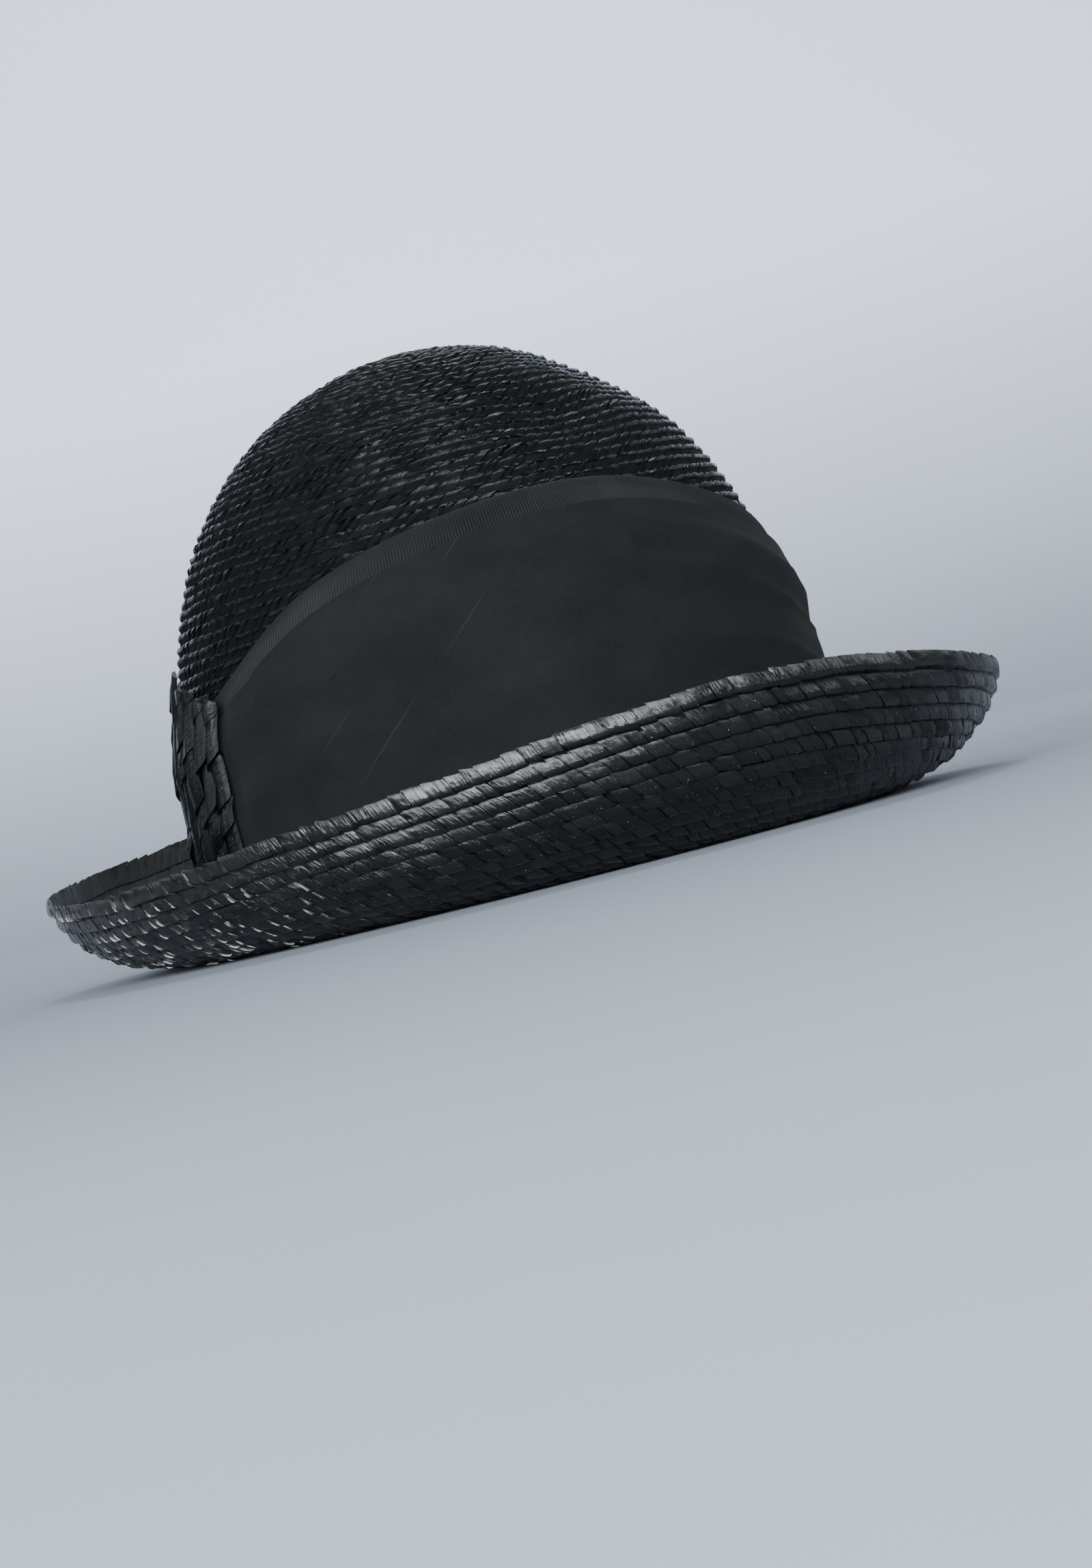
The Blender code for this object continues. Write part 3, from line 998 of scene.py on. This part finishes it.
def band_material():
    """Matte charcoal twill laid on the slant, with a few drawn threads and dark slubs."""
    finish, tree, shader = new_material("charcoal_twill")
    weave = attribute(tree, "weave", "Vector")
    ribs = node(tree, "ShaderNodeTexWave", wave_type="BANDS", bands_direction="Y", wave_profile="SIN")
    ribs.inputs["Scale"].default_value = 1.0
    ribs.inputs["Distortion"].default_value = 1.6
    ribs.inputs["Detail"].default_value = 2.0
    # Blender's wave repeats once in 0.314 of its coordinate at a scale of one.
    repeats = 2 * math.pi / 20 / TWILL_PITCH
    slanted = turned_weave(tree, weave, TWILL_SLANT, repeats * 0.35, repeats)
    join(tree, slanted, ribs.inputs["Vector"])
    yarn = noise(tree, turned_weave(tree, weave, TWILL_SLANT, 500, 3000), 3.0, 0.65)
    cross = noise(tree, scaled(tree, weave, (2400, 2400, 1)), 2.0, 0.6)
    cloudy = noise(tree, scaled(tree, weave, (38, 60, 1)), 4.0, 0.6)
    weft = math_node(tree, "ADD", math_node(tree, "MULTIPLY", ribs.outputs["Fac"], 0.45), cross)
    tone = spread(tree, math_node(tree, "ADD", yarn, weft), 0.75, 1.70, 0.0, 1.0)
    color = blend_colors(tree, tone, CLOTH_DARK, CLOTH_LIGHT)
    color = blend_colors(tree, spread(tree, cloudy, 0.35, 0.75, 0.0, 0.7), color, CLOTH_DUSTY)
    across = turned_weave(tree, weave, THREAD_SLANT, 6, 1 / THREAD_PITCH)
    split = node(tree, "ShaderNodeSeparateXYZ")
    join(tree, across, split.inputs["Vector"])
    wander = math_node(tree, "ADD", split.outputs["Y"], math_node(tree, "MULTIPLY", cloudy, 0.12))
    away = math_node(tree, "ABSOLUTE", math_node(tree, "SUBTRACT", math_node(tree, "FRACT", wander), 0.5))
    broken = noise(tree, scaled(tree, weave, (26, 34, 1)), 1.0, 0.5)
    kept = spread(tree, broken, 0.52, 0.66, 0.0, 0.7)
    # Threads are drawn only from the front round to the tab.
    plain = node(tree, "ShaderNodeSeparateXYZ")
    join(tree, weave, plain.inputs["Vector"])
    kept = math_node(tree, "MULTIPLY", kept, spread(tree, plain.outputs["X"], 0.01, 0.03, 0.0, 1.0))
    kept = math_node(tree, "MULTIPLY", kept, spread(tree, plain.outputs["X"], 0.11, 0.14, 1.0, 0.0))
    thread = math_node(tree, "MULTIPLY", spread(tree, away, 0.005, 0.014, 1.0, 0.0), kept)
    color = blend_colors(tree, thread, color, THREAD_COLOR)
    slubs = noise(tree, turned_weave(tree, weave, TWILL_SLANT, 170, 900), 0.0, 0.5)
    color = blend_colors(tree, spread(tree, slubs, 0.845, 0.87, 0.0, 0.8), color, SLUB_COLOR)
    join(tree, color, shader.inputs["Base Color"])
    shader.inputs["Roughness"].default_value = 0.85
    shader.inputs["Sheen Weight"].default_value = 0.012
    shader.inputs["Sheen Roughness"].default_value = 0.5
    shader.inputs["Specular IOR Level"].default_value = 0.07
    height = math_node(tree, "ADD", ribs.outputs["Fac"], math_node(tree, "MULTIPLY", cross, 0.9))
    join(tree, bump(tree, height, 0.6, 0.00012), shader.inputs["Normal"])
    return finish


RIBBON_DARK = (0.0030, 0.0031, 0.0031)
RIBBON_LIGHT = (0.0080, 0.0082, 0.0082)


def ribbon_material():
    """Ribbed ribbon, a little lighter than the cloth, with fine yarn along each rib."""
    finish, tree, shader = new_material("ribbed_ribbon")
    weave = attribute(tree, "weave", "Vector")
    yarn = noise(tree, scaled(tree, weave, (900, 3800, 1)), 3.0, 0.6)
    cloudy = noise(tree, scaled(tree, weave, (60, 90, 1)), 2.0, 0.5)
    tone = spread(tree, math_node(tree, "ADD", yarn, cloudy), 0.6, 1.4, 0.0, 1.0)
    color = blend_colors(tree, tone, RIBBON_DARK, RIBBON_LIGHT)
    join(tree, color, shader.inputs["Base Color"])
    shader.inputs["Roughness"].default_value = 0.6
    shader.inputs["Sheen Weight"].default_value = 0.010
    shader.inputs["Specular IOR Level"].default_value = 0.10
    join(tree, bump(tree, yarn, 0.5, 0.00014), shader.inputs["Normal"])
    return finish


FLOOR_COLOR = (0.15, 0.165, 0.195)
WALL_COLOR = (0.66, 0.73, 0.85)
# The height over which the floor's colour turns into the wall's.
TURNS_PALE_BY = 0.45
# The floor's front edge, where it starts to curve up and by what radius, the wall's top, half
# the stage's width, and how many points the curve has.
FLOOR_FRONT = -6.0
SWEEP_START = 1.3
SWEEP_RADIUS = 1.3
WALL_TOP = 7.0
STAGE_HALF_WIDTH = 9.0
SWEEP_POINTS = 25


def stage_material():
    """Matte paper, grey on the floor and pale up the backdrop."""
    finish, tree, shader = new_material("pale_paper")
    place = node(tree, "ShaderNodeTexCoord").outputs["Object"]
    split = node(tree, "ShaderNodeSeparateXYZ")
    join(tree, place, split.inputs["Vector"])
    grain = noise(tree, scaled(tree, place, (9, 9, 9)), 4.0, 0.6)
    height = math_node(tree, "ADD", split.outputs["Z"], spread(tree, grain, 0, 1, -0.01, 0.01))
    share = spread(tree, height, 0.0, TURNS_PALE_BY, 0.0, 1.0)
    join(tree, blend_colors(tree, share, FLOOR_COLOR, WALL_COLOR), shader.inputs["Base Color"])
    shader.inputs["Roughness"].default_value = 0.8
    return finish


def make_stage():
    """A grey floor that curves up behind the hat into a plain backdrop."""
    steps = [(FLOOR_FRONT, 0.0)] + [
        (SWEEP_START + SWEEP_RADIUS * math.sin(turn), SWEEP_RADIUS * (1 - math.cos(turn)))
        for turn in np.linspace(0, math.pi / 2, SWEEP_POINTS)
    ] + [(SWEEP_START + SWEEP_RADIUS, WALL_TOP)]
    points = []
    faces = []
    for side in (-STAGE_HALF_WIDTH, STAGE_HALF_WIDTH):
        points += [(side, y, z) for y, z in steps]
    count = len(steps)
    for step in range(count - 1):
        faces.append((step, step + 1, count + step + 1, count + step))
    mesh = bpy.data.meshes.new("studio_floor")
    mesh.from_pydata(points, [], faces)
    mesh.shade_smooth()
    mesh.materials.append(stage_material())
    floor = bpy.data.objects.new("studio_floor", mesh)
    floor.rotation_euler[2] = math.radians(PHOTO_AZIMUTH)
    bpy.context.scene.collection.objects.link(floor)


# The camera: where it looks from and how it is rolled, as the photograph's but raised to just
# above the floor, and where the point that it is set by lies from the middle of the picture,
# in its pixels.
IMAGE_HEIGHT = 2296
PHOTO_AZIMUTH = -27.9
PHOTO_ROLL = -14.1
CAMERA_ELEVATION = -0.9
CAMERA_DISTANCE = 0.998
FOCAL_PIXELS = 5363
TARGET_RIGHT_PIXELS = -60.5
TARGET_DOWN_PIXELS = -75.3
TARGET_HEIGHT = 0.041
SENSOR = 36.0
ROOM_COLOR = (0.82, 0.88, 0.96, 1)
ROOM_STRENGTH = 0.16
# The height that the lights are placed about and aimed at.
LIGHT_AIM = 0.05


def make_camera():
    turn = math.radians(PHOTO_AZIMUTH)
    lift = math.radians(CAMERA_ELEVATION)
    back = Vector((math.sin(turn) * math.cos(lift), -math.cos(turn) * math.cos(lift), math.sin(lift)))
    target = Vector(TO_FRAME) + Vector((0, 0, TARGET_HEIGHT))
    camera = bpy.data.cameras.new("camera")
    camera.sensor_width = SENSOR
    camera.lens = SENSOR * FOCAL_PIXELS / IMAGE_HEIGHT
    camera.clip_start = 0.01
    holder = bpy.data.objects.new("camera", camera)
    bpy.context.scene.collection.objects.link(holder)
    facing = (-back).to_track_quat("-Z", "Y")
    rolled = facing @ Matrix.Rotation(math.radians(PHOTO_ROLL), 4, "Z").to_quaternion()
    seen = Vector((TARGET_RIGHT_PIXELS, -TARGET_DOWN_PIXELS, -FOCAL_PIXELS)).normalized()
    aside = Vector((0, 0, -1)).rotation_difference(seen)
    holder.rotation_mode = "QUATERNION"
    holder.rotation_quaternion = rolled @ aside.inverted()
    holder.location = target + back * CAMERA_DISTANCE
    bpy.context.scene.camera = holder


def from_photo(azimuth, elevation, distance):
    """A place seen from the hat, at angles from the photograph's line of sight."""
    turn = math.radians(PHOTO_AZIMUTH + azimuth)
    lift = math.radians(elevation)
    way = Vector((math.sin(turn) * math.cos(lift), -math.cos(turn) * math.cos(lift), math.sin(lift)))
    return Vector((0, 0, LIGHT_AIM)) + way * distance


def add_area(name, place, aim, size, power, color):
    light = bpy.data.lights.new(name, "AREA")
    light.shape = "RECTANGLE"
    light.size, light.size_y = size
    light.energy = power
    light.color = color
    holder = bpy.data.objects.new(name, light)
    holder.location = place
    holder.rotation_mode = "QUATERNION"
    holder.rotation_quaternion = (aim - place).to_track_quat("-Z", "Y")
    bpy.context.scene.collection.objects.link(holder)


def make_lights():
    world = bpy.data.worlds.new("soft_room")
    world.use_nodes = True
    back = world.node_tree.nodes["Background"]
    back.inputs["Color"].default_value = ROOM_COLOR
    back.inputs["Strength"].default_value = ROOM_STRENGTH
    bpy.context.scene.world = world
    hat = Vector((0, 0, LIGHT_AIM))
    cool = (0.91, 0.96, 1.0)
    plain = (0.97, 0.98, 1.0)
    add_area("window", from_photo(-8, 14, 1.5), hat, (1.7, 0.82), 100, cool)
    add_area("side", from_photo(-85, 24, 1.8), hat, (1.1, 1.0), 12, cool)
    add_area("far_side", from_photo(100, 26, 1.8), hat, (1.1, 1.0), 12, plain)
    add_area("overhead", from_photo(165, 66, 1.9), hat, (0.6, 0.6), 17, plain)
    wall = from_photo(180, 8, 2.6)
    add_area("backdrop", from_photo(180, 62, 1.7), wall, (2.4, 0.4), 60, plain)


def dress():
    brim_straw = straw_material("glossy_black_straw", (0.0034, 0.0036, 0.0041), 0.10, 0.25, 0.42, 1.0, 0.5)
    crown_straw = straw_material("black_crown_straw", (0.0020, 0.0021, 0.0024), 0.13, 0.32, 0.12, 0.8, 0.6)
    tab_straw = straw_material("black_tab_straw", (0.0030, 0.0032, 0.0036), 0.14, 0.34, 0.20, 1.0, 0.2)
    band = make_band(band_material())
    ribbon = make_ribbon(ribbon_material())
    dressed = (
        (make_brim_inner(brim_straw), "brim", "straw"),
        (make_brim_outer(brim_straw), "brim", "straw"),
        (make_crown_foot(crown_straw), "crown", "straw"),
        (make_crown_side(crown_straw), "crown", "straw"),
        (make_crown_dome(crown_straw), "crown", "straw"),
        (band, "band", "band_cloth"),
        (ribbon, "ribbon", "ribbon"),
        (make_tab(tab_straw), "side_tab", "tab_straw"),
    )
    for piece, replaced, slot in dressed:
        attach(piece, "root")
        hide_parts(replaced)


dress()
make_stage()
make_lights()
make_camera()
